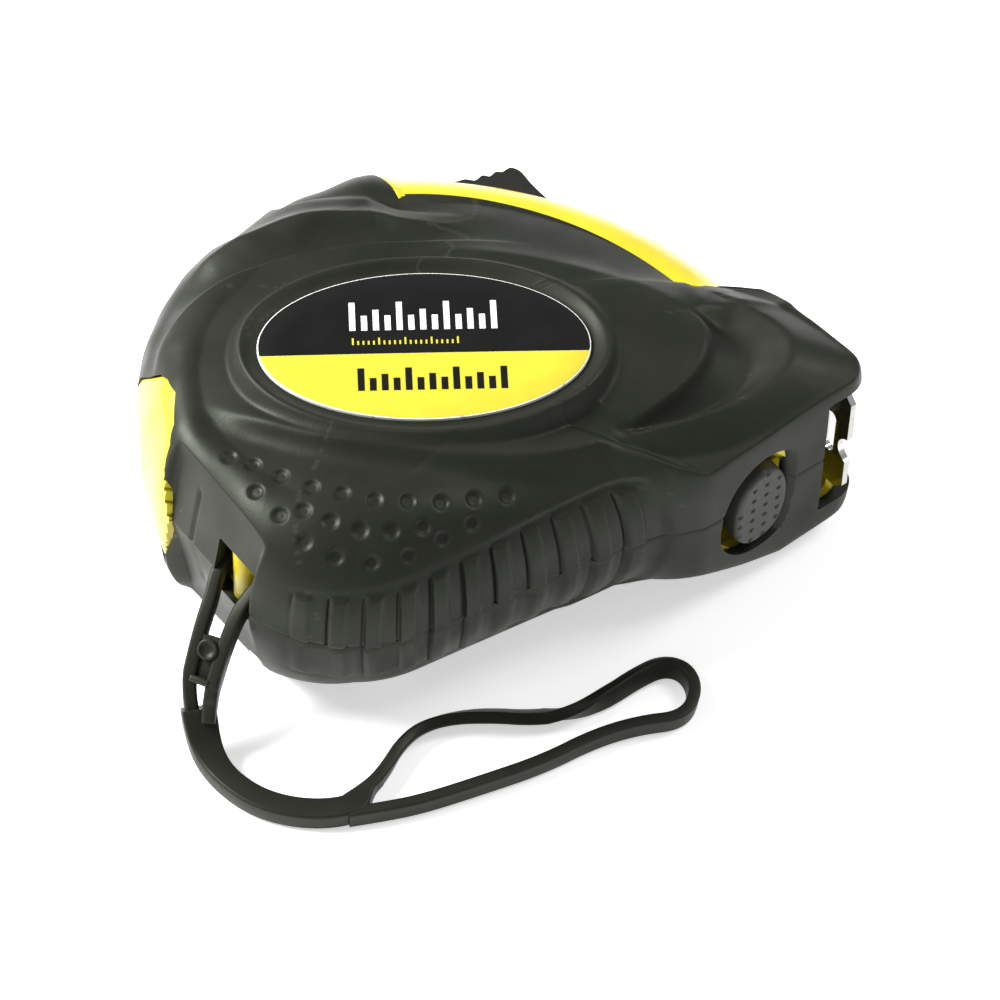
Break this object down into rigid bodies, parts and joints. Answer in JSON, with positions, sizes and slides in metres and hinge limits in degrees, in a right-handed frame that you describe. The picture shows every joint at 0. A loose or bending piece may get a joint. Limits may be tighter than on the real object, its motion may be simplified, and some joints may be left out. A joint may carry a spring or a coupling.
{
  "type": "tape measure",
  "caption": "Pocket tape measure: two-shell rubber-covered case, thumb lock, brake button under the nose, sliding end hook and moulded wrist strap.",
  "frame": {"origin": "on the flat resting face, on the drum axis", "axes": "+X is the way the blade pulls out, +Y is towards the edge with the thumb lock, +Z comes out of the label side"},
  "size_m": [0.088, 0.0844, 0.0336],
  "materials": {
    "yellow_abs": "moulded ABS, light gloss",
    "black_rubber": "fine matte moulded rubber",
    "strap_rubber": "satin moulded rubber",
    "label": "printed plastic, satin",
    "zinc_steel": "zinc plated",
    "spring_steel": "blued spring steel",
    "chrome": "bright chrome plate",
    "blade_enamel": "enamelled steel",
    "black_plastic": "moulded",
    "grey_plastic": "moulded, fine matte"
  },
  "bodies": {
    "case": {"case_lower": "yellow_abs", "case_upper": "yellow_abs", "grip_cover_lower": "black_rubber", "grip_cover_upper": "black_rubber", "label_plate": "label", "case_screws": "zinc_steel", "mainspring": "spring_steel", "centre_post": "zinc_steel", "brake_spring": "spring_steel", "mouth_guide": "black_plastic", "strap_anchor": "strap_rubber", "strap_neck": "strap_rubber", "strap_loop": "strap_rubber"},
    "spool": {"spool_hub": "black_plastic", "spool_flange_lower": "black_plastic", "spool_flange_upper": "black_plastic", "blade_coil": "blade_enamel"},
    "blade": {"blade": "blade_enamel", "hook_rivets": "zinc_steel"},
    "hook": {"hook": "chrome"},
    "lock": {"thumb_lock": "black_plastic", "lock_arm": "black_plastic", "lock_pad": "black_rubber"},
    "brake": {"brake_button": "grey_plastic", "brake_pad": "black_rubber"}
  },
  "joints": [
    {"name": "spool_spin", "type": "hinge", "parent": "case", "child": "spool", "pos_m": [0, 0, 0.0168], "axis": [0, 0, 1], "range_deg": [0, 65.9], "stiffness_Nm_per_rad": 0.02},
    {"name": "blade_pull", "type": "slide", "parent": "case", "child": "blade", "axis": [1, 0, 0], "range_m": [0, 0.0262]},
    {"name": "hook_play", "type": "slide", "parent": "blade", "child": "hook", "axis": [1, 0, 0], "range_m": [0, 0.001]},
    {"name": "thumb_lock_slide", "type": "hinge", "parent": "case", "child": "lock", "pos_m": [-0.0117, -0.0151, 0.0168], "axis": [0, 0, 1], "range_deg": [-6, 0]},
    {"name": "brake_press", "type": "slide", "parent": "case", "child": "brake", "axis": [0, 1, 0], "range_m": [0, 0.0015], "stiffness_N_per_m": 400, "deforming": ["brake_spring"]}
  ],
  "couplings": [
    {"joint": "blade_pull", "follows": "spool_spin", "m_per_rad": 0.0226}
  ]
}
